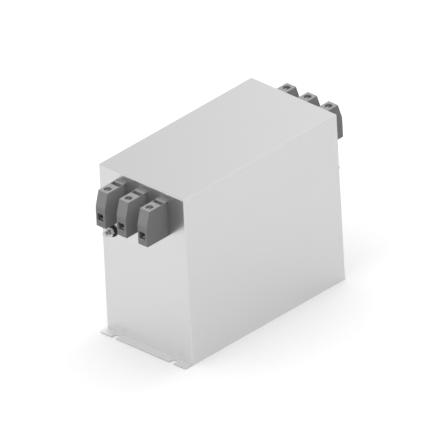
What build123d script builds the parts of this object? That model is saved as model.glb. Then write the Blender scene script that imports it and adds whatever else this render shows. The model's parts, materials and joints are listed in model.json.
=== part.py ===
from build123d import *
import os
from math import cos, radians, sin

# Three-phase EMI filter. Millimetres, +Z up. The origin is on the underside of the base plate,
# under the middle of the case. The line terminals face -Y, the load terminals face +Y.

# Case
case_width = 100.0
case_length = 188.0
case_height = 161.0
sheet = 1.0
bend_radius = 1.4
lip_width = 7.0

# Base plate and its mounting flanges
plate_thickness = 1.2
flange_reach = 9.0
flange_corner = 2.0
rear_flange_inset = 10.0
slot_width = 5.3
slot_depth = 5.6
slot_spacing = 67.0

# Feed-through terminals
phases = 3
terminal_pitch = 24.4
terminal_drop = 8.3
housing_width = 10.9
housing_height = 32.8
housing_reach = 22.0
nose_bulge = 4.3
nose_drop = 14.0
nose_blend = 9.0
housing_edge = 0.4
shoulder_length = 3.6
shoulder_rise = 0.4
latch_slot_length = 3.8
latch_slot_depth = 4.5
latch_slot_wall = 0.5
housing_wall = 1.3
driver_hole_radius = 3.4
driver_hole_setback = 6.0
entry_width = 6.8
entry_height = 7.2
entry_rise = 5.6
entry_side = -0.4
entry_taper = 0.3
entry_corner = 0.8
neck_width = 8.6
neck_height = 22.0
neck_drop = 7.0
neck_length = 10.0
fit_gap = 0.1

# Clamp cage, clamp screw and copper bar inside a terminal
cage_wall = 1.2
cage_top = 2.4
cage_setback = 2.5
cage_half_length = 4.5
jaw_rise = 1.4
screw_radius = 2.5
screw_head_radius = 3.1
screw_head_height = 2.6
screw_head_drop = 1.6
driver_slot_width = 0.9
driver_slot_depth = 1.4
bar_width = 5.6
bar_thickness = 1.5
bar_bend = 1.6
bar_overhang = 2.6
bar_below_board = 2.0

# Locking clip behind the wall
clip_thickness = 1.8
clip_margin = 2.6
clip_groove = 1.0

# Earth stud
earth_stud_radius = 2.5
earth_stud_reach = 10.4
earth_stud_head_radius = 3.9
earth_stud_head = 1.1
earth_stud_side = 12.6
earth_stud_drop = 60.6
earth_nut_flats = 8.0
earth_nut_height = 4.0
earth_engaged_radius = 2.24
earth_engaged_run = 0.3
washer_radius = 5.8
washer_thickness = 1.3
washer_teeth = 12
tooth_depth = 0.9
tooth_width = 1.1

# Common-mode chokes
choke_spacing = 84.0
core_radius = 33.0
core_bore = 20.0
core_height = 46.0
core_edge = 2.0
wire_width = 3.2
wire_thickness = 2.6
winding_gap = 0.3
winding_side_gap = 0.6
turns = 7
turn_angle = 14.0
seat_thickness = 3.0
seat_radius = 31.0
clamp_radius = 27.0
clamp_thickness = 3.5
hub_radius = 7.0
divider_arm = 2.0
divider_gap = 0.4
choke_stud_radius = 2.5
choke_stud_head_radius = 4.0
choke_stud_head = 0.8
choke_nut_flats = 8.0
choke_nut_height = 4.7

# Circuit board and what stands on it
board_height = 82.0
board_thickness = 1.6
board_side_gap = 5.0
board_end_gap = 8.0
spacer_flats = 6.0
spacer_inset = 7.0
small_screw_radius = 1.5
small_head_radius = 2.7
small_head_height = 2.0
pin_radius = 0.5
pin_reach = 2.5
hole_play = 0.3
x_cap_width = 20.0
x_cap_length = 32.0
x_cap_height = 33.0
x_cap_pin_pitch = 27.5
x_cap_place = 52.0
y_cap_width = 8.0
y_cap_length = 18.0
y_cap_height = 15.0
y_cap_pin_pitch = 15.0
y_cap_spacing = 24.0
cap_edge = 0.8
resistor_radius = 2.2
resistor_length = 11.0
resistor_pin_pitch = 17.5
resistor_row = 9.0
resistor_lift = 1.0

# Base screws and their clinch nuts
base_screws_per_side = 3
base_screw_end_gap = 24.0
base_screw_length = 6.0
clinch_nut_radius = 3.2
clinch_nut_height = 2.2
thread_gap = 0.05
head_recess = 0.1

# Levels and places that follow from the sizes above
wall_inside_y = case_length / 2 - sheet
wall_inside_x = case_width / 2 - sheet
lip_top = plate_thickness + sheet
housing_top = case_height - terminal_drop
nose_reach = housing_reach + nose_bulge
terminal_x = [(n - (phases - 1) / 2) * terminal_pitch for n in range(phases)]
driver_hole_y = driver_hole_setback - housing_reach
entry_bottom = entry_rise - housing_height
entry_top = entry_bottom + entry_height
cage_width = housing_width - 2 * housing_wall - 2 * fit_gap
cage_front = cage_setback - nose_reach
cage_back = driver_hole_y + cage_half_length
cage_bottom = entry_bottom + entry_taper - cage_wall
jaw_top = cage_bottom + cage_wall + jaw_rise
bar_bottom = entry_top - entry_taper
bar_top = bar_bottom + bar_thickness
cage_roof = bar_top + bar_thickness
cage_crest = cage_roof + cage_top
bar_drop_y = sheet + neck_length + bar_overhang
board_length = case_length - 2 * sheet - 2 * board_end_gap
board_width = case_width - 2 * sheet - 2 * board_side_gap
board_top = board_height + board_thickness
spacer_places = [
    (side * (board_width / 2 - spacer_inset), end * (board_length / 2 - spacer_inset))
    for side in (-1, 1)
    for end in (-1, 1)
]
seat_top = plate_thickness + seat_thickness
core_bottom = seat_top + wire_thickness + winding_gap
core_top = core_bottom + core_height
winding_top = core_top + winding_gap + wire_thickness
outer_leg = core_radius + winding_side_gap + wire_thickness / 2
inner_leg = core_bore - winding_side_gap - wire_thickness / 2
clamp_top = winding_top + clamp_thickness
tail_top = board_top + pin_reach
winding_angles = [90.0, 210.0, 330.0]
first_turn = -(turns - 2) / 2 * turn_angle
ends = {"line": 1, "load": -1}


def box_between(low, high):
    """A box from its low corner to its high corner."""
    size = [b - a for a, b in zip(low, high)]
    centre = [(a + b) / 2 for a, b in zip(low, high)]
    return Pos(*centre) * Box(*size)


def side_slab(points, width):
    """An outline in Y and Z, extruded by half of the width to each side of X = 0."""
    return extrude(Plane.YZ * Polygon(*points, align=None), width / 2, both=True)


def rod(radius, low, high, x=0.0, y=0.0):
    """An upright round rod between two heights."""
    return Pos(x, y, (low + high) / 2) * Cylinder(radius, high - low)


def hexagon(flats, height):
    """A hexagonal prism that stands on Z = 0, with two corners along X."""
    return extrude(RegularPolygon(flats / 2, 6, major_radius=False), height)


def lying(part, x, y, z):
    """An upright part laid over so that its +Z points to -Y."""
    return Pos(x, y, z) * Rot(X=90) * part


def at_end(part, end):
    """A part made for the line end, placed at the line end or turned round to the load end."""
    return part if end == "line" else Rot(Z=180) * part


def at_wall(part, x):
    """A part made at a terminal's own origin, placed on the outside of the line wall."""
    return Pos(x, -case_length / 2, housing_top) * part


def flange(half_width):
    """The line end's mounting flange: rounded outer corners and two slots open to the edge."""
    wall_y = -case_length / 2
    outer_y = wall_y - flange_reach
    strip = box_between((-half_width, outer_y, 0), (half_width, wall_y, plate_thickness))
    corners = strip.edges().filter_by(Axis.Z).group_by(Axis.Y)[0]
    strip = fillet(corners, flange_corner)
    half_slot = slot_width / 2
    round_y = outer_y + slot_depth - half_slot
    for x in (-slot_spacing / 2, slot_spacing / 2):
        strip -= box_between(
            (x - half_slot, outer_y - sheet, -sheet), (x + half_slot, round_y, lip_top)
        )
        strip -= rod(half_slot, -sheet, lip_top, x, round_y)
    return strip


def base_screw_places():
    """Where the base screws enter the case's lips."""
    x = wall_inside_x - lip_width / 2
    half_run = case_length / 2 - base_screw_end_gap
    step = 2 * half_run / (base_screws_per_side - 1)
    return [
        (side * x, -half_run + n * step) for side in (-1, 1) for n in range(base_screws_per_side)
    ]


def choke_places():
    """The two choke centres along Y."""
    return {end: -sign * choke_spacing / 2 for end, sign in ends.items()}


def base_plate():
    """The flat base sheet under the case; the flanges carry it on at both ends."""
    plate = box_between(
        (-case_width / 2, -case_length / 2, 0), (case_width / 2, case_length / 2, plate_thickness)
    )
    for x, y in base_screw_places() + spacer_places:
        plate -= Pos(x, y, 0) * countersink()
    for y in choke_places().values():
        plate -= rod(choke_stud_head_radius + thread_gap, -sheet, choke_stud_head, 0, y)
        plate -= rod(choke_stud_radius + thread_gap, 0, lip_top, 0, y)
    return plate


def countersink():
    """The conical seat of a small screw's head through the base plate."""
    radius = small_screw_radius + fit_gap
    cone = Pos(Z=plate_thickness / 2) * Cone(
        small_head_radius + fit_gap + head_recess, radius, plate_thickness
    )
    return cone


def countersunk_screw(length):
    """A small flat-head screw pointing up, its head just above the plate's underside."""
    head_height = plate_thickness - head_recess
    head = Pos(Z=head_recess + head_height / 2) * Cone(
        small_head_radius, small_screw_radius, head_height
    )
    shank = rod(small_screw_radius, head_recess, head_recess + length)
    drive = box_between(
        (-small_head_radius, -driver_slot_width / 2, 0),
        (small_head_radius, driver_slot_width / 2, head_recess + driver_slot_width / 2),
    )
    return head + shank - drive


def case_shell():
    """The sheet box: top and four walls, with turned-in lips along the long sides."""
    outer = box_between(
        (-case_width / 2, -case_length / 2, plate_thickness),
        (case_width / 2, case_length / 2, case_height),
    )
    upright = outer.edges().filter_by(Axis.Z)
    rim = outer.edges().group_by(Axis.Z)[-1]
    outer = fillet(upright + rim, bend_radius)
    inner = box_between(
        (-wall_inside_x, -wall_inside_y, 0),
        (wall_inside_x, wall_inside_y, case_height - sheet),
    )
    upright = inner.edges().filter_by(Axis.Z)
    rim = inner.edges().group_by(Axis.Z)[-1]
    inner = fillet(upright + rim, bend_radius - sheet)
    shell = outer - inner
    lip_end = wall_inside_y - bend_radius
    for side in (-1, 1):
        low_x, high_x = sorted((side * (wall_inside_x - lip_width), side * wall_inside_x))
        shell += box_between((low_x, -lip_end, plate_thickness), (high_x, lip_end, lip_top))
    for x, y in base_screw_places():
        shell -= rod(small_screw_radius + fit_gap, 0, 2 * lip_top, x, y)
    for end in ends:
        for x in terminal_x:
            shell -= at_end(at_wall(neck_block(fit_gap), x), end)
        shell -= at_end(earth_axis(Cylinder(earth_stud_radius + thread_gap, 4 * sheet)), end)
    return shell


def earth_axis(part):
    """A part made along Z, laid on the earth stud's axis with Z = 0 at the wall's outside."""
    return lying(part, earth_stud_side - case_width / 2, -case_length / 2, earth_level())


def earth_level():
    """Height of the earth studs above the base."""
    return case_height - earth_stud_drop


def neck_block(play=0.0):
    """The part of a terminal that passes through the wall, with some play all round."""
    return box_between(
        (-neck_width / 2 - play, -play, -neck_drop - neck_height - play),
        (neck_width / 2 + play, sheet + neck_length, -neck_drop + play),
    )


def terminal_housing():
    """One moulded terminal: leaning nose, driver hole, wire entry, cavity, and neck."""
    nose = [
        (0, shoulder_rise),
        (-shoulder_length, shoulder_rise),
        (-shoulder_length, 0),
        (-housing_reach, 0),
        (-nose_reach, -nose_drop),
        (-nose_reach, -housing_height),
        (0, -housing_height),
    ]
    body = side_slab(nose, housing_width)
    chin = body.edges().filter_by(Axis.X).sort_by_distance((0, -nose_reach, -nose_drop))[0]
    body = fillet(chin, nose_blend)
    front = body.faces().filter_by(lambda face: face.normal_at().Y < -0.5)
    front_edges = front.edges().filter_by(lambda edge: edge.center().Z < -housing_edge)
    foot_z = front_edges.sort_by(Axis.Z)[0].center().Z
    soft = [e for e in front_edges if abs(abs(e.center().X) - housing_width / 2) < fit_gap]
    soft += [e for e in front_edges if e.center().Z == foot_z]
    body = fillet(soft, housing_edge)
    body += neck_block()
    half_slot = housing_width / 2 - latch_slot_wall
    body -= box_between(
        (-half_slot, -shoulder_length - latch_slot_length, -latch_slot_depth),
        (half_slot, -shoulder_length, shoulder_rise + sheet),
    )
    inner = housing_width / 2 - housing_wall
    cavity_front = housing_wall - nose_reach
    body -= box_between(
        (-inner, cavity_front, cage_bottom - 2 * fit_gap),
        (inner, cage_back + 2 * fit_gap, cage_crest + screw_head_height),
    )
    body -= rod(driver_hole_radius, cage_roof, sheet, 0, driver_hole_y)
    body -= wire_funnel()
    bar_back = sheet + neck_length + sheet
    body -= box_between(
        (-bar_width / 2 - fit_gap, cavity_front, bar_bottom - fit_gap),
        (bar_width / 2 + fit_gap, bar_back, bar_top + fit_gap),
    )
    for side in (-1, 1):
        low_x, high_x = sorted((side * (neck_width / 2 - clip_groove), side * neck_width))
        body -= box_between(
            (low_x, sheet, -neck_drop - neck_height - sheet),
            (high_x, sheet + clip_thickness + fit_gap, sheet - neck_drop),
        )
    return body


def wire_funnel():
    """The tapered wire entry, a little wider at the nose's face than at the cavity."""
    middle_z = (entry_bottom + entry_top) / 2
    mouth = Pos(entry_side, -nose_reach - fit_gap, middle_z) * Rot(X=90) * RectangleRounded(
        entry_width, entry_height, entry_corner
    )
    throat = Pos(entry_side, housing_wall + fit_gap - nose_reach, middle_z) * Rot(X=90) * RectangleRounded(
        entry_width - 2 * entry_taper, entry_height - 2 * entry_taper, entry_corner
    )
    return loft([mouth.face(), throat.face()])


def clamp_cage():
    """The steel clamp frame round the bar and the wire: its jaw below, the screw's thread on top."""
    half = cage_width / 2
    frame = box_between((-half, cage_front, cage_bottom), (half, cage_back, cage_crest))
    window = box_between(
        (cage_wall - half, cage_front - sheet, jaw_top),
        (half - cage_wall, cage_back + sheet, cage_roof),
    )
    thread = rod(screw_radius + thread_gap, bar_top, cage_crest + sheet, 0, driver_hole_y)
    return fillet(frame.edges().filter_by(Axis.Y), cage_wall / 2) - window - thread


def clamp_screw():
    """The slotted clamp screw, its tip on the copper bar."""
    head_top = -screw_head_drop
    head = rod(screw_head_radius, head_top - screw_head_height, head_top, 0, driver_hole_y)
    shank = rod(screw_radius, bar_top, head_top - screw_head_height, 0, driver_hole_y)
    slot = box_between(
        (-driver_slot_width / 2, driver_hole_y - screw_head_radius, head_top - driver_slot_depth),
        (driver_slot_width / 2, driver_hole_y + screw_head_radius, head_top),
    )
    return head + shank - slot


def copper_bar():
    """The strip from the clamp, through the neck, then down through the circuit board."""
    board_drop = board_height - bar_below_board - housing_top
    outline = [
        (cage_front, bar_top),
        (bar_drop_y, bar_top),
        (bar_drop_y, board_drop),
        (bar_drop_y - bar_thickness, board_drop),
        (bar_drop_y - bar_thickness, bar_bottom),
        (cage_front, bar_bottom),
    ]
    strip = side_slab(outline, bar_width)
    across = strip.edges().filter_by(Axis.X)
    outer_bend = across.sort_by_distance((0, bar_drop_y, bar_top))[0]
    strip = fillet(outer_bend, bar_bend)
    across = strip.edges().filter_by(Axis.X)
    inner_bend = across.sort_by_distance((0, bar_drop_y - bar_thickness, bar_bottom))[0]
    return fillet(inner_bend, bar_bend - bar_thickness + fit_gap)


def locking_clip():
    """The fork that drops into the neck's grooves and holds the terminal against the wall."""
    half_slot = neck_width / 2 - clip_groove + fit_gap
    half_width = neck_width / 2 + clip_margin
    bottom = -neck_drop - neck_height
    front = sheet
    back = sheet + clip_thickness
    plate = box_between((-half_width, front, bottom), (half_width, back, clip_margin - neck_drop))
    fork = box_between((-half_slot, 0, bottom - sheet), (half_slot, back + sheet, -neck_drop + fit_gap))
    corners = plate.edges().filter_by(Axis.Y)
    return fillet(corners, clip_margin / 2) - fork


def earth_stud():
    """A clinch stud: its head inside the wall, its shank out through the wall.

    Inside the nut the thread is drawn at its pitch diameter, and on the free end at its outer one.
    """
    head = Pos(Z=-sheet - earth_stud_head / 2) * Cylinder(earth_stud_head_radius, earth_stud_head)
    nut_end = washer_thickness + earth_nut_height + earth_engaged_run
    root = rod(earth_stud_radius, -sheet, washer_thickness)
    engaged = rod(earth_engaged_radius, washer_thickness, nut_end)
    tip = rod(earth_stud_radius, nut_end, earth_stud_reach)
    tip = chamfer(tip.edges().sort_by(Axis.Z)[-1], earth_stud_radius / 5)
    return earth_axis(head + root + engaged + tip)


def lock_washer():
    """A toothed lock washer: a ring with teeth cut round its rim."""
    ring = Cylinder(washer_radius, washer_thickness) - Cylinder(
        earth_stud_radius + thread_gap, 2 * washer_thickness
    )
    notch = Pos(X=washer_radius) * Box(2 * tooth_depth, tooth_width, 2 * washer_thickness)
    for n in range(washer_teeth):
        ring -= Rot(Z=n * 360 / washer_teeth) * notch
    return earth_axis(Pos(Z=washer_thickness / 2) * ring)


def plain_nut(flats, height, bore):
    """A hexagon nut with rounded-off corners, standing on Z = 0."""
    blank = hexagon(flats, height)
    corner = flats / 2 / cos(radians(30))
    crown = Pos(Z=height / 2) * Cone(corner + height / 2, corner - fit_gap, height)
    return (blank & crown) - rod(bore, -sheet, height + sheet)


def earth_nut():
    """The nut on the earth stud, tight on the lock washer."""
    nut = plain_nut(earth_nut_flats, earth_nut_height, earth_engaged_radius + thread_gap)
    return earth_axis(Pos(Z=washer_thickness) * nut)


def choke_core():
    """The ring core in its rounded case, centred on Z."""
    ring = rod(core_radius, core_bottom, core_top)
    ring = fillet(ring.edges().filter_by(GeomType.CIRCLE), core_edge)
    return ring - rod(core_bore, core_bottom - sheet, core_top + sheet)


def choke_winding():
    """One winding: turns of flat-sided wire from one board tail to the other, centred on +X."""
    half_wire = wire_thickness / 2
    far = outer_leg + half_wire
    near = inner_leg - half_wire
    window_low = core_bottom - winding_gap
    window_high = core_top + winding_gap
    bracket = side_slab(
        [
            (far, winding_top),
            (near, winding_top),
            (near, seat_top),
            (far, seat_top),
            (far, window_low),
            (near + wire_thickness, window_low),
            (near + wire_thickness, window_high),
            (far, window_high),
        ],
        wire_width,
    )
    bracket = Rot(Z=-90) * bracket
    half_chord = outer_leg * sin(radians(turn_angle / 2))
    reach = outer_leg * cos(radians(turn_angle / 2))
    half_width = wire_width / 2
    slope = [
        (-half_chord - half_width, winding_top),
        (half_width - half_chord, winding_top),
        (half_width + half_chord, seat_top),
        (half_chord - half_width, seat_top),
    ]
    crossing = Pos(X=reach) * extrude(Plane.YZ * Polygon(*slope, align=None), half_wire, both=True)
    tail = box_between(
        (outer_leg - half_wire, -half_width, window_high), (far, half_width, tail_top)
    )
    pieces = []
    for n in range(turns):
        angle = first_turn + n * turn_angle
        pieces.append(Rot(Z=angle) * bracket)
        pieces.append(Rot(Z=angle - turn_angle / 2) * crossing)
    for angle in tail_angles():
        pieces.append(Rot(Z=angle) * tail)
    return pieces[0].fuse(*pieces[1:])


def tail_angles():
    """The angles of a winding's two tails from its middle."""
    return [first_turn - turn_angle, first_turn + (turns - 1) * turn_angle]


def choke_divider():
    """The three-armed spacer that keeps the windings apart in the core's bore."""
    star = rod(hub_radius, seat_top, winding_top)
    for angle in winding_angles:
        arm = box_between(
            (0, -divider_arm / 2, seat_top), (core_bore - divider_gap, divider_arm / 2, winding_top)
        )
        star += Rot(Z=angle + 60) * arm
    return star - rod(choke_stud_radius + divider_gap, 0, clamp_top)


def choke_disc(radius, low, high):
    """An insulating disc over or under a choke, bored for the stud."""
    disc = rod(radius, low, high)
    return disc - rod(choke_stud_radius + fit_gap, low - sheet, high + sheet)


def choke_stud():
    """A flush-head clinch stud that stands up from the base plate."""
    head = rod(choke_stud_head_radius, head_recess, choke_stud_head)
    shank = rod(choke_stud_radius, head_recess, clamp_top + choke_nut_height + choke_stud_radius)
    return head + shank


def circuit_board():
    """The board, with holes for the screws, the bars, the winding tails and the pins."""
    board = box_between(
        (-board_width / 2, -board_length / 2, board_height),
        (board_width / 2, board_length / 2, board_top),
    )
    below = board_height - sheet
    above = board_top + sheet
    cutters = [rod(small_screw_radius + fit_gap, below, above, x, y) for x, y in spacer_places]
    for end in ends:
        for x in terminal_x:
            y = bar_drop_y - bar_thickness / 2 - case_length / 2
            hole = box_between(
                (x - bar_width / 2 - hole_play, y - bar_thickness / 2 - hole_play, below),
                (x + bar_width / 2 + hole_play, y + bar_thickness / 2 + hole_play, above),
            )
            cutters.append(at_end(hole, end))
        tail_hole = box_between(
            (outer_leg - wire_thickness / 2 - hole_play, -wire_width / 2 - hole_play, below),
            (outer_leg + wire_thickness / 2 + hole_play, wire_width / 2 + hole_play, above),
        )
        for middle in winding_angles:
            for angle in tail_angles():
                hole = Pos(0, choke_places()["line"], 0) * Rot(Z=middle + angle) * tail_hole
                cutters.append(at_end(hole, end))
    for x, y in pin_places():
        cutters.append(rod(pin_radius + hole_play, below, above, x, y))
    return board.cut(*cutters)


def pin_places():
    """Every round pin hole in the board."""
    places = []
    for sign in (-1, 1):
        for x in terminal_x:
            for step in (-1, 1):
                places.append((x, sign * x_cap_place + step * x_cap_pin_pitch / 2))
            places.append((sign * resistor_pin_pitch / 2, x / terminal_pitch * resistor_row))
        for step in (-1, 1):
            places.append((sign * y_cap_spacing, step * y_cap_pin_pitch / 2))
    return places


def box_capacitor(width, length, height, pin_pitch):
    """A film capacitor on the board at X = Y = 0: its long side along Y, two pins down."""
    can = box_between((-width / 2, -length / 2, board_top), (width / 2, length / 2, board_top + height))
    can = fillet(can.edges().filter_by(Axis.Z) + can.edges().group_by(Axis.Z)[-1], cap_edge)
    for step in (-1, 1):
        can += rod(pin_radius, board_height - pin_reach, board_top + sheet, 0, step * pin_pitch / 2)
    return can


def resistor(y):
    """A discharge resistor along X, its two leads bent down through the board."""
    axis_z = board_top + resistor_lift + resistor_radius
    body = Pos(0, y, axis_z) * Rot(Y=90) * Cylinder(resistor_radius, resistor_length)
    body = fillet(body.edges().filter_by(GeomType.CIRCLE), resistor_radius / 3)
    half = resistor_pin_pitch / 2
    wire = Pos(0, y, axis_z) * Rot(Y=90) * Cylinder(pin_radius, 2 * half)
    body += wire
    for side in (-1, 1):
        body += rod(pin_radius, board_height - pin_reach, axis_z + pin_radius, side * half, y)
    return body


def spacer():
    """A hexagonal spacer from the base plate to the board, tapped at both ends."""
    bar = Pos(Z=plate_thickness) * hexagon(spacer_flats, board_height - plate_thickness)
    bore = rod(small_screw_radius + thread_gap, 0, base_screw_length + fit_gap)
    low = board_height - base_screw_length
    return bar - bore - rod(small_screw_radius + thread_gap, low, board_top)


def board_screw():
    """A round-head screw that holds the board on a spacer."""
    head = rod(small_head_radius, board_top, board_top + small_head_height)
    head = fillet(head.edges().sort_by(Axis.Z)[-1], small_head_height / 2)
    shank = rod(small_screw_radius, board_height - base_screw_length + sheet, board_top)
    slot = box_between(
        (-small_head_radius, -driver_slot_width / 2, board_top + small_head_height / 2),
        (small_head_radius, driver_slot_width / 2, board_top + small_head_height),
    )
    return head + shank - slot


def clinch_nut():
    """A round nut pressed on the top of a case lip."""
    nut = rod(clinch_nut_radius, lip_top, lip_top + clinch_nut_height)
    return nut - rod(small_screw_radius + thread_gap, 0, 2 * (lip_top + clinch_nut_height))


def save(name, *solids):
    """One node's file: a single solid, or a group of separate solids."""
    shape = solids[0] if len(solids) == 1 else Compound(children=list(solids))
    shape.label = name
    export_step(shape, os.path.join("parts", name + ".step"))


def save_terminals():
    """Housings and bars one by one; cages, screws and clips in groups of like pieces."""
    housing = terminal_housing()
    bar = copper_bar()
    groups = {
        "clamp_cages": clamp_cage(),
        "clamp_screws": clamp_screw(),
        "locking_clips": locking_clip(),
    }
    for end in ends:
        for number, x in enumerate(terminal_x, 1):
            save(f"{end}_terminal_{number}", at_end(at_wall(housing, x), end))
            save(f"{end}_bar_{number}", at_end(at_wall(bar, x), end))
        for name, piece in groups.items():
            save(f"{end}_{name}", *[at_end(at_wall(piece, x), end) for x in terminal_x])


def save_earth():
    """The two earth studs, with their washers and nuts."""
    for end in ends:
        save(f"{end}_earth_stud", at_end(earth_stud(), end))
    save("earth_lock_washers", *[at_end(lock_washer(), end) for end in ends])
    save("earth_nuts", *[at_end(earth_nut(), end) for end in ends])


def save_chokes():
    """Each choke: seat, core, three windings, divider and clamp disc on its stud."""
    winding = choke_winding()
    pieces = {
        "core": choke_core(),
        "divider": choke_divider(),
        "seat": choke_disc(seat_radius, plate_thickness, seat_top),
        "clamp": choke_disc(clamp_radius, winding_top, clamp_top),
    }
    place = Pos(Y=choke_places()["line"])
    for end in ends:
        for name, piece in pieces.items():
            save(f"{end}_choke_{name}", at_end(place * piece, end))
        for number, middle in enumerate(winding_angles, 1):
            turned = place * Rot(Z=middle) * winding
            save(f"{end}_winding_{number}", at_end(turned, end))
    nut = plain_nut(choke_nut_flats, choke_nut_height, choke_stud_radius + thread_gap)
    centres = choke_places().values()
    save("choke_studs", *[Pos(Y=y) * choke_stud() for y in centres])
    save("choke_nuts", *[Pos(0, y, clamp_top) * nut for y in centres])


def save_board():
    """The circuit board, its spacers and screws, and the parts soldered to it."""
    save("circuit_board", circuit_board())
    save("board_spacers", *[Pos(x, y, 0) * spacer() for x, y in spacer_places])
    save("board_screws", *[Pos(x, y, 0) * board_screw() for x, y in spacer_places])
    x_cap = box_capacitor(x_cap_width, x_cap_length, x_cap_height, x_cap_pin_pitch)
    y_cap = box_capacitor(y_cap_width, y_cap_length, y_cap_height, y_cap_pin_pitch)
    for end, sign in ends.items():
        for number, x in enumerate(terminal_x, 1):
            save(f"{end}_x_capacitor_{number}", Pos(x, -sign * x_cap_place, 0) * x_cap)
    for number, x in enumerate((-y_cap_spacing, y_cap_spacing), 1):
        save(f"y_capacitor_{number}", Pos(X=x) * y_cap)
    rows = [x / terminal_pitch * resistor_row for x in terminal_x]
    save("discharge_resistors", *[resistor(y) for y in rows])


def save_case():
    """The case shell, the base plate with its flanges, and what fastens them together."""
    save("case_shell", case_shell())
    save("base_plate", base_plate())
    save("line_flange", at_end(flange(case_width / 2), "line"))
    save("load_flange", at_end(flange(case_width / 2 - rear_flange_inset), "load"))
    screw = countersunk_screw(base_screw_length)
    places = base_screw_places() + spacer_places
    save("base_screws", *[Pos(x, y, 0) * screw for x, y in places])
    save("clinch_nuts", *[Pos(x, y, 0) * clinch_nut() for x, y in base_screw_places()])


os.makedirs("parts", exist_ok=True)
save_case()
save_terminals()
save_earth()
save_chokes()
save_board()
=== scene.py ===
import bmesh
import bpy
import json
import math
from mathutils import Matrix, Vector


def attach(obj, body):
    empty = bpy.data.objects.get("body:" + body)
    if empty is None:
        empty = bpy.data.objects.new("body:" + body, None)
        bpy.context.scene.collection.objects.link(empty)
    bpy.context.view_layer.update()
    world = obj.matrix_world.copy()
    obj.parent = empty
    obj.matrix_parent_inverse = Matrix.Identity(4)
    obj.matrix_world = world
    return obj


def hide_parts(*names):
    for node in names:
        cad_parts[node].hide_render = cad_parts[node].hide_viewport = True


# Three-phase EMI filter in its studio. Metres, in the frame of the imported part: +Z up,
# line terminals towards -Y, load terminals towards +Y. Angles are in degrees.

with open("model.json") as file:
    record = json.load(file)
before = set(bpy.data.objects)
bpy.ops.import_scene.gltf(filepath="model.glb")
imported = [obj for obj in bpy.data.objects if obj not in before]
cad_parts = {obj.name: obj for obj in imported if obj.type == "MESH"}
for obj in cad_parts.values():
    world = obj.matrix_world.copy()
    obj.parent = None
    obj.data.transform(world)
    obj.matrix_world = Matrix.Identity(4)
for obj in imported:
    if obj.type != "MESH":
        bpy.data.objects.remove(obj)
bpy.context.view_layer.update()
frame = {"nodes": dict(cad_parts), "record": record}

MM = 0.001
WELD_DISTANCE = 0.002 * MM
FLAT_ANGLE = 0.5
SHARP_ANGLE = 35

# Rounded edges of the CAD nodes: the width, by a node's name or a part of it
BEVEL_SEGMENTS = 2
EDGES = {
    "base_plate": 0.1 * MM,
    "base_screws": 0.1 * MM,
    "case_shell": 0.2 * MM,
    "terminal": 0.2 * MM,
    "flange": 0.12 * MM,
    "earth_nuts": 0.2 * MM,
    "earth_lock_washers": 0.12 * MM,
    "clamp_screws": 0.15 * MM,
    "clamp_cages": 0.15 * MM,
}

# Earth studs: where the line end's axis leaves the wall and then, in millimetres from there,
# rings of (distance along the axis, radius) from the head to the tip. The thread's profile is
# rows of (share of a pitch, radius).
STUD_PLACE = (-37.4 * MM, -94.0 * MM, 100.4 * MM)
STUD_HEAD = ((-2.1, 0.0), (-2.1, 3.75), (-1.95, 3.9), (-1.0, 3.9), (-1.0, 2.5))
STUD_SHANK = ((1.3, 2.5), (1.3, 2.24), (5.6, 2.24))
STUD_END = ((10.4, 2.0), (10.4, 1.5), (10.2, 1.1), (10.1, 0.0))
STUD_SIDES = 36
THREAD_PITCH = 0.8
THREAD_PROFILE = ((0.0, 2.5), (0.125, 2.5), (0.4375, 2.06), (0.6875, 2.06))
THREAD_SPARE_TURNS = 2

# Finishes. Tones and roughness wander with a noise, whose scale is given; a spread is how far
# they go to either side, and darker is the darkest tone as a share of the lightest.
NOISE_DETAIL = 3.0
NOISE_RANGE = (0.3, 0.7)
SHEET_TONE_NOISE = 18.0
SHEET_TONE_SPREAD = 0.006
SHEET_ROUGHNESS_NOISE = 60.0
SHEET_ROUGHNESS_SPREAD = 0.005
METAL_TONE_NOISE = 400.0
METAL_DARKER = 0.94
# Painted shade in recesses: how much of the base colour ambient occlusion takes away, and its reach
METAL_RECESS_SHADE = 0.6
METAL_RECESS_REACH = 1.5 * MM
METAL_ROUGHNESS_NOISE = 900.0
METAL_ROUGHNESS_SPREAD = 0.05
MATTER_TONE_NOISE = 300.0
MATTER_DARKER = 0.9
TERMINAL_DARK, TERMINAL_GREY, TERMINAL_LIGHT = 0.35, 0.36, 0.37
TERMINAL_ROUGHNESS = 0.55
TERMINAL_SPECULAR = 0.3
TERMINAL_TONE_NOISE = 90.0
# Painted shade in the terminals' recesses: how much of the base colour ambient occlusion takes
# away, and its reach
TERMINAL_RECESS_SHADE = 0.35
TERMINAL_RECESS_REACH = 5 * MM
TERMINAL_GRAIN_NOISE = 2500.0
TERMINAL_GRAIN_STRENGTH = 0.15
TERMINAL_GRAIN_DEPTH = 0.05 * MM

# Camera: parallel view of the photograph, 444 pixels across
CAMERA_AZIMUTH = 45.04
CAMERA_ELEVATION = 29.97
CAMERA_ROLL = -3.04
FRAME_WIDTH = 375.3 * MM
AIM_RIGHT = -3.74 * MM
AIM_UP = 69.02 * MM
CAMERA_DISTANCE = 1.5

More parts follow.
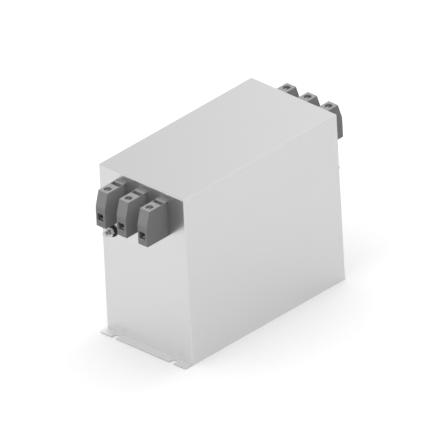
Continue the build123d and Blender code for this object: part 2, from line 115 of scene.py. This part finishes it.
# Studio. A run is a stretch of the plane's own X axis, and a glow has the levels at its ends.
# Diffuse surfaces see the sky at SKY_LEVEL plus the dot product of SKY_TILT and its direction.
SKY_SEEN = 1.0
SKY_MIRRORED = 0.964
SKY_LEVEL = 0.4
SKY_TILT = (-0.25, 0.03, 1.05)
FLOOR_SIZE = 8.0
FLOOR_DROP = 0.02 * MM
FLOOR_WHITE = 0.78
# Painted reflection: the floor as mirrors show it is set apart from the floor the camera sees
FLOOR_WHITE_MIRRORED = 0.49
FLOOR_BOUNCE = 0.1
# Painted shadow: the glow the camera sees is lower near the middle and rises over the run, so the
# floor is darker in a band across the object's width
FLOOR_GLOW = (0.228, 0.29)
FLOOR_GLOW_RUN = (38 * MM, 70 * MM)
# Painted reflection: the glow mirrors see fades towards +X, so the right-hand wall mirrors a darker
# floor
FLOOR_GLOW_MIRRORED = (0.515, 0.467)
FLOOR_GLOW_MIRRORED_RUN = (-60 * MM, 60 * MM)
BACKDROP_SIZE = 3.0
BACKDROP_TURN = 45.0
BACKDROP_DISTANCE = 0.6
BACKDROP_GLOW = (0.875, 1.1)
BACKDROP_GLOW_RUN = (-250 * MM, 250 * MM)

# A ray's Diffuse Depth, a whole number, is under this until a diffuse surface scatters it
DIFFUSE_DEPTH_LIMIT = 0.5


def math_node(tree, operation, first, second, clamp=True):
    """A two-input math node on sockets or numbers."""
    node = tree.nodes.new("ShaderNodeMath")
    node.operation = operation
    node.use_clamp = clamp
    for socket, value in zip(node.inputs, (first, second)):
        if isinstance(value, float):
            socket.default_value = value
        else:
            tree.links.new(value, socket)
    return node.outputs[0]


def spread(tree, value, run, levels, shape="LINEAR"):
    """A value that goes from one level to the other over its run, and no further."""
    node = tree.nodes.new("ShaderNodeMapRange")
    node.interpolation_type = shape
    node.inputs["From Min"].default_value, node.inputs["From Max"].default_value = run
    node.inputs["To Min"].default_value, node.inputs["To Max"].default_value = levels
    tree.links.new(value, node.inputs["Value"])
    return node.outputs["Result"]


def coordinate(tree, kind, axis):
    """One axis of a kind of texture coordinates."""
    coords = tree.nodes.new("ShaderNodeTexCoord")
    split = tree.nodes.new("ShaderNodeSeparateXYZ")
    tree.links.new(coords.outputs[kind], split.inputs["Vector"])
    return split.outputs[axis]


def object_noise(tree, scale):
    """A noise texture in object space."""
    coords = tree.nodes.new("ShaderNodeTexCoord")
    noise = tree.nodes.new("ShaderNodeTexNoise")
    noise.inputs["Scale"].default_value = scale
    noise.inputs["Detail"].default_value = NOISE_DETAIL
    tree.links.new(coords.outputs["Object"], noise.inputs["Vector"])
    return noise.outputs["Fac"]


def shader(name, base, roughness, metallic=0.0):
    """A material with a Principled shader; returns the material, its nodes' tree and the shader."""
    mat = bpy.data.materials.new(name)
    mat.use_nodes = True
    tree = mat.node_tree
    principled = tree.nodes["Principled BSDF"]
    principled.inputs["Base Color"].default_value = (*base, 1.0)
    principled.inputs["Metallic"].default_value = metallic
    principled.inputs["Roughness"].default_value = roughness
    return mat, tree, principled


def vary_color(tree, principled, scale, dark, light):
    """Base colour that wanders between two near tones."""
    mix = tree.nodes.new("ShaderNodeMix")
    mix.data_type = "RGBA"
    mix.inputs["A"].default_value = (*dark, 1.0)
    mix.inputs["B"].default_value = (*light, 1.0)
    tree.links.new(object_noise(tree, scale), mix.inputs["Factor"])
    tree.links.new(mix.outputs["Result"], principled.inputs["Base Color"])


def vary_roughness(tree, principled, scale, middle, reach):
    """Roughness that wanders to both sides of its middle."""
    levels = (middle - reach, middle + reach)
    roughness = spread(tree, object_noise(tree, scale), NOISE_RANGE, levels)
    tree.links.new(roughness, principled.inputs["Roughness"])


def grain(tree, principled, scale, strength, depth):
    """Fine relief from a noise."""
    bump = tree.nodes.new("ShaderNodeBump")
    bump.inputs["Strength"].default_value = strength
    bump.inputs["Distance"].default_value = depth
    tree.links.new(object_noise(tree, scale), bump.inputs["Height"])
    tree.links.new(bump.outputs["Normal"], principled.inputs["Normal"])


def scale_color(tree, principled, value, low):
    """Base colour taken down where a value between 0 and 1 is small: to a share of itself at 0."""
    socket = principled.inputs["Base Color"]
    color = socket.links[0].from_socket
    scaled = tree.nodes.new("ShaderNodeVectorMath")
    scaled.operation = "SCALE"
    tree.links.new(color, scaled.inputs["Vector"])
    tree.links.new(spread(tree, value, (0.0, 1.0), (low, 1.0)), scaled.inputs["Scale"])
    tree.links.new(scaled.outputs["Vector"], socket)


def paint_recess_shade(tree, principled, strength, reach):
    """Painted shade: holes, slots and corners darkened by ambient occlusion, where little light
    comes in.
    """
    occlusion = tree.nodes.new("ShaderNodeAmbientOcclusion")
    occlusion.inputs["Distance"].default_value = reach
    scale_color(tree, principled, occlusion.outputs["AO"], 1 - strength)


def paint_edge_shade(tree, principled, strength):
    """Painted shade on the upright edge faces of a sheet that lies flat."""
    flat = math_node(tree, "ABSOLUTE", coordinate(tree, "Normal", "Z"), 0.0)
    scale_color(tree, principled, flat, 1 - strength)


def rolled_sheet(name, brightness, roughness, edge_shade=0.0):
    """Rolled sheet: a soft mirror whose brightness wanders a little; edge_shade paints shade on its
    upright edges.
    """
    mat, tree, principled = shader(name, (brightness,) * 3, roughness, metallic=1.0)
    dark = (brightness - SHEET_TONE_SPREAD,) * 3
    light = (brightness + SHEET_TONE_SPREAD,) * 3
    vary_color(tree, principled, SHEET_TONE_NOISE, dark, light)
    # Painted shade on the upright edge faces
    if edge_shade:
        paint_edge_shade(tree, principled, edge_shade)
    vary_roughness(tree, principled, SHEET_ROUGHNESS_NOISE, roughness, SHEET_ROUGHNESS_SPREAD)
    return mat


def terminal_plastic(name):
    """Grey moulded plastic, matt with a fine grain, with painted shade in its holes and corners."""
    mat, tree, principled = shader(name, (TERMINAL_GREY,) * 3, TERMINAL_ROUGHNESS)
    principled.inputs["Specular IOR Level"].default_value = TERMINAL_SPECULAR
    dark, light = (TERMINAL_DARK,) * 3, (TERMINAL_LIGHT,) * 3
    vary_color(tree, principled, TERMINAL_TONE_NOISE, dark, light)
    # Painted shade in holes, slots and corners
    paint_recess_shade(tree, principled, TERMINAL_RECESS_SHADE, TERMINAL_RECESS_REACH)
    grain(tree, principled, TERMINAL_GRAIN_NOISE, TERMINAL_GRAIN_STRENGTH, TERMINAL_GRAIN_DEPTH)
    return mat


def plain_metal(name, base, roughness):
    """Small metal parts with a slightly uneven finish, and painted shade in their threads and
    joins.
    """
    mat, tree, principled = shader(name, base, roughness, metallic=1.0)
    dark = tuple(METAL_DARKER * c for c in base)
    vary_color(tree, principled, METAL_TONE_NOISE, dark, base)
    # Painted shade in threads and joins
    paint_recess_shade(tree, principled, METAL_RECESS_SHADE, METAL_RECESS_REACH)
    vary_roughness(tree, principled, METAL_ROUGHNESS_NOISE, roughness, METAL_ROUGHNESS_SPREAD)
    return mat


def plain_matter(name, base, roughness):
    """Plastic, resin or lacquer with slightly uneven colour."""
    mat, tree, principled = shader(name, base, roughness)
    dark = tuple(MATTER_DARKER * c for c in base)
    vary_color(tree, principled, MATTER_TONE_NOISE, dark, base)
    return mat


MATERIALS = {
    "case_metal": rolled_sheet("case_metal", 0.69, 0.281),
    # Painted light: the flanges' sheet is lighter than the case's, so that the flanges, which
    # mirror the wall beside them, come out as light as the wall
    # Painted shade on the flange's upright edges
    "flange_metal": rolled_sheet("flange_metal", 0.93, 0.42, edge_shade=0.4),
    "terminal_plastic": terminal_plastic("terminal_plastic"),
    "zinc_steel": plain_metal("zinc_steel", (0.64, 0.65, 0.66), 0.2),
    "black_washer": plain_metal("black_washer", (0.05, 0.05, 0.05), 0.4),
    "cage_steel": plain_metal("cage_steel", (0.6, 0.6, 0.6), 0.45),
    "tinned_copper": plain_metal("tinned_copper", (0.78, 0.76, 0.74), 0.22),
    "enamelled_wire": plain_metal("enamelled_wire", (0.6, 0.25, 0.08), 0.2),
    "clip_plastic": plain_matter("clip_plastic", (0.3, 0.3, 0.3), 0.6),
    "core_case": plain_matter("core_case", (0.12, 0.12, 0.13), 0.6),
    "insulator": plain_matter("insulator", (0.78, 0.76, 0.7), 0.6),
    "board_resin": plain_matter("board_resin", (0.13, 0.3, 0.16), 0.4),
    "x_capacitor_plastic": plain_matter("x_capacitor_plastic", (0.75, 0.62, 0.2), 0.5),
    "y_capacitor_plastic": plain_matter("y_capacitor_plastic", (0.2, 0.3, 0.5), 0.5),
    "resistor_body": plain_matter("resistor_body", (0.45, 0.55, 0.6), 0.5),
}


def dress(node, material_name):
    """One material all over a CAD node."""
    obj = frame["nodes"][node]
    obj.data.materials.clear()
    obj.data.materials.append(MATERIALS[material_name])


for subpart in frame["record"]["subparts"]:
    dress(subpart["node"], subpart["material_slot"])
# The flanges take the lighter sheet, painted light against the wall they mirror
dress("line_flange", "flange_metal")
dress("load_flange", "flange_metal")


def soften(node, width):
    """A small rounding along the sharp edges of a CAD node, with even shading on its flat faces."""
    obj = frame["nodes"][node]
    for polygon in obj.data.polygons:
        polygon.use_smooth = True
    weld = obj.modifiers.new("weld", "WELD")
    weld.merge_threshold = WELD_DISTANCE
    flat = obj.modifiers.new("flat", "DECIMATE")
    flat.decimate_type = "DISSOLVE"
    flat.angle_limit = math.radians(FLAT_ANGLE)
    edge = obj.modifiers.new("edge", "BEVEL")
    edge.width = width
    edge.segments = BEVEL_SEGMENTS
    edge.limit_method = "ANGLE"
    edge.angle_limit = math.radians(SHARP_ANGLE)
    shading = obj.modifiers.new("shading", "WEIGHTED_NORMAL")
    shading.keep_sharp = False


for node in frame["nodes"]:
    for part_name, width in EDGES.items():
        if part_name in node:
            soften(node, width)


def rotation(degrees, axis):
    """A turn about an axis through the origin."""
    return Matrix.Rotation(math.radians(degrees), 4, axis)


def thread_rows(start, end):
    """Rows of (distance, radius) round a thread between two rings: one turn climbs a pitch."""
    (low, low_radius), (high, high_radius) = start, end
    turns = math.ceil((high - low) / THREAD_PITCH) + THREAD_SPARE_TURNS
    rows = []
    for turn in range(-THREAD_SPARE_TURNS, turns):
        for share, radius in THREAD_PROFILE:
            row = []
            for side in range(STUD_SIDES):
                along = low + (turn + share + side / STUD_SIDES) * THREAD_PITCH
                if along <= low:
                    row.append(start)
                elif along >= high:
                    row.append(end)
                else:
                    run_out = min(low_radius + along - low, high_radius + high - along)
                    row.append((along, min(radius, run_out)))
            rows.append(row)
    return rows


def stud_grid(shape, rows):
    """The vertices of the stud round its axis, row by row."""
    grid = []
    for row in rows:
        verts = []
        for side, (along, radius) in enumerate(row):
            angle = 2 * math.pi * side / STUD_SIDES
            place = Vector((radius * math.cos(angle), radius * math.sin(angle), along))
            verts.append(shape.verts.new(place * MM))
        grid.append(verts)
    return grid


def stud_mesh(name):
    """A clinch stud with its rolled thread and cupped end, along +Z from the wall's outside."""
    shank = [[ring] * STUD_SIDES for ring in STUD_HEAD + STUD_SHANK]
    thread = thread_rows(STUD_SHANK[-1], STUD_END[0])
    tip = [[ring] * STUD_SIDES for ring in STUD_END]
    shape = bmesh.new()
    grid = stud_grid(shape, shank + thread + tip)
    rise = len(THREAD_PROFILE)
    climbing = range(len(shank), len(shank) + len(thread) - rise)
    for low in range(len(grid) - 1):
        for side in range(STUD_SIDES):
            over, step = side + 1, 0
            if over == STUD_SIDES:
                # The last side meets the first one a pitch further on, where the rows climb
                over, step = 0, rise if low in climbing else 0
            near, far = (grid[low], grid[low + 1]), (grid[low + step], grid[low + step + 1])
            shape.faces.new((near[0][side], far[0][over], far[1][over], near[1][side]))
    bmesh.ops.remove_doubles(shape, verts=shape.verts, dist=WELD_DISTANCE)
    bmesh.ops.dissolve_degenerate(shape, edges=shape.edges, dist=WELD_DISTANCE)
    bmesh.ops.recalc_face_normals(shape, faces=shape.faces)
    mesh = bpy.data.meshes.new(name)
    shape.to_mesh(mesh)
    shape.free()
    mesh.shade_smooth()
    mesh.set_sharp_from_angle(angle=math.radians(SHARP_ANGLE))
    mesh.materials.append(MATERIALS["zinc_steel"])
    return mesh


def earth_stud(end, turn):
    """A stud with its real thread, in place of the CAD's plain one."""
    mesh = stud_mesh(f"{end}_threaded_stud")
    piece = bpy.data.objects.new(f"{end}_threaded_stud", mesh)
    bpy.context.collection.objects.link(piece)
    place = Matrix.Translation(STUD_PLACE)
    piece.matrix_world = rotation(turn, "Z") @ place @ rotation(90, "X")
    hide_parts(f"{end}_earth_stud")
    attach(piece, "root")


earth_stud("line", 0)
earth_stud("load", 180)


def ray_kinds(tree):
    """Whether a ray comes from the camera, mirrors something for it, or gathers light."""
    path = tree.nodes.new("ShaderNodeLightPath").outputs
    shiny = math_node(tree, "ADD", path["Is Glossy Ray"], path["Is Transmission Ray"])
    first = math_node(tree, "LESS_THAN", path["Diffuse Depth"], DIFFUSE_DEPTH_LIMIT)
    mirrored = math_node(tree, "MULTIPLY", shiny, first)
    seen = math_node(tree, "ADD", path["Is Camera Ray"], mirrored)
    return path["Is Camera Ray"], mirrored, math_node(tree, "SUBTRACT", 1.0, seen)


def by_ray(tree, *levels):
    """One level for the camera's view, one for its mirror images, and one for light on things."""
    total = 0.0
    for kind, level in zip(ray_kinds(tree), levels):
        share = math_node(tree, "MULTIPLY", kind, level, clamp=False)
        total = math_node(tree, "ADD", share, total, clamp=False)
    return total


def across(tree, run, levels, both_ways=False):
    """A level that changes smoothly over a run, or alike to both sides of the middle."""
    place = coordinate(tree, "Object", "X")
    if both_ways:
        place = math_node(tree, "ABSOLUTE", place, 0.0, clamp=False)
    return spread(tree, place, run, levels, shape="SMOOTHSTEP")


def sky_light(tree):
    """The sky as diffuse surfaces see it: strongest overhead, and stronger from the left."""
    coords = tree.nodes.new("ShaderNodeTexCoord")
    dot = tree.nodes.new("ShaderNodeVectorMath")
    dot.operation = "DOT_PRODUCT"
    tree.links.new(coords.outputs["Generated"], dot.inputs[0])
    dot.inputs[1].default_value = SKY_TILT
    return math_node(tree, "ADD", dot.outputs["Value"], SKY_LEVEL, clamp=False)


def stage_plane(name, size):
    """A plane of the studio with an empty material; returns the plane and the material's tree."""
    bpy.ops.mesh.primitive_plane_add(size=size)
    plane = bpy.context.active_object
    plane.name = name
    mat = bpy.data.materials.new(name)
    mat.use_nodes = True
    mat.node_tree.nodes.remove(mat.node_tree.nodes["Principled BSDF"])
    plane.data.materials.append(mat)
    return plane, mat.node_tree


def emission(tree, strength):
    """A white glow of the strength given."""
    glow = tree.nodes.new("ShaderNodeEmission")
    tree.links.new(strength, glow.inputs["Strength"])
    return glow.outputs["Emission"]


def clear(tree):
    """Nothing to be seen."""
    return tree.nodes.new("ShaderNodeBsdfTransparent").outputs["BSDF"]


def cover(tree, share, at_none, at_all):
    """The plane's surface: one shader where the share is 0, the other where it is 1."""
    mix = tree.nodes.new("ShaderNodeMixShader")
    for socket, source in zip(mix.inputs, (share, at_none, at_all)):
        tree.links.new(source, socket)
    tree.links.new(mix.outputs["Shader"], tree.nodes["Material Output"].inputs["Surface"])


def floor():
    """White floor that keeps the object's shadow, adds a painted shadow and is clear from below."""
    plane, tree = stage_plane("floor", FLOOR_SIZE)
    plane.location.z = -FLOOR_DROP
    diffuse = tree.nodes.new("ShaderNodeBsdfDiffuse")
    white = by_ray(tree, FLOOR_WHITE, FLOOR_WHITE_MIRRORED, FLOOR_BOUNCE)
    tree.links.new(white, diffuse.inputs["Color"])
    # Painted shadow: the glow the camera sees dips through the middle
    seen = across(tree, FLOOR_GLOW_RUN, FLOOR_GLOW, both_ways=True)
    # Painted reflection: the glow mirrors see, dimmer towards +X
    mirrored = across(tree, FLOOR_GLOW_MIRRORED_RUN, FLOOR_GLOW_MIRRORED)
    both = tree.nodes.new("ShaderNodeAddShader")
    tree.links.new(diffuse.outputs["BSDF"], both.inputs[0])
    tree.links.new(emission(tree, by_ray(tree, seen, mirrored, 0.0)), both.inputs[1])
    sides = tree.nodes.new("ShaderNodeNewGeometry")
    cover(tree, sides.outputs["Backfacing"], both.outputs["Shader"], clear(tree))


def backdrop():
    """A white card behind the object, brighter to the right, that only mirrors show."""
    card, tree = stage_plane("backdrop", BACKDROP_SIZE)
    place = Matrix.Translation((0.0, BACKDROP_DISTANCE, BACKDROP_SIZE / 2))
    card.matrix_world = rotation(BACKDROP_TURN, "Z") @ place @ rotation(90, "X")
    glow = emission(tree, across(tree, BACKDROP_GLOW_RUN, BACKDROP_GLOW))
    _, mirrored, _ = ray_kinds(tree)
    cover(tree, mirrored, clear(tree), glow)


def sky():
    """Soft white sky all round."""
    world = bpy.data.worlds.new("sky")
    bpy.context.scene.world = world
    world.use_nodes = True
    tree = world.node_tree
    level = by_ray(tree, SKY_SEEN, SKY_MIRRORED, sky_light(tree))
    tree.links.new(level, tree.nodes["Background"].inputs["Color"])


def camera():
    """The parallel camera at the photograph's angle."""
    data = bpy.data.cameras.new("camera")
    data.type = "ORTHO"
    data.ortho_scale = FRAME_WIDTH
    cam = bpy.data.objects.new("camera", data)
    bpy.context.collection.objects.link(cam)
    turn = rotation(CAMERA_AZIMUTH, "Z") @ rotation(90 - CAMERA_ELEVATION, "X")
    turn = turn @ rotation(CAMERA_ROLL, "Z")
    place = turn @ Vector((AIM_RIGHT, AIM_UP, CAMERA_DISTANCE))
    cam.matrix_world = Matrix.Translation(place) @ turn
    bpy.context.scene.camera = cam


floor()
backdrop()
sky()
camera()
bpy.context.scene.view_settings.view_transform = "Standard"
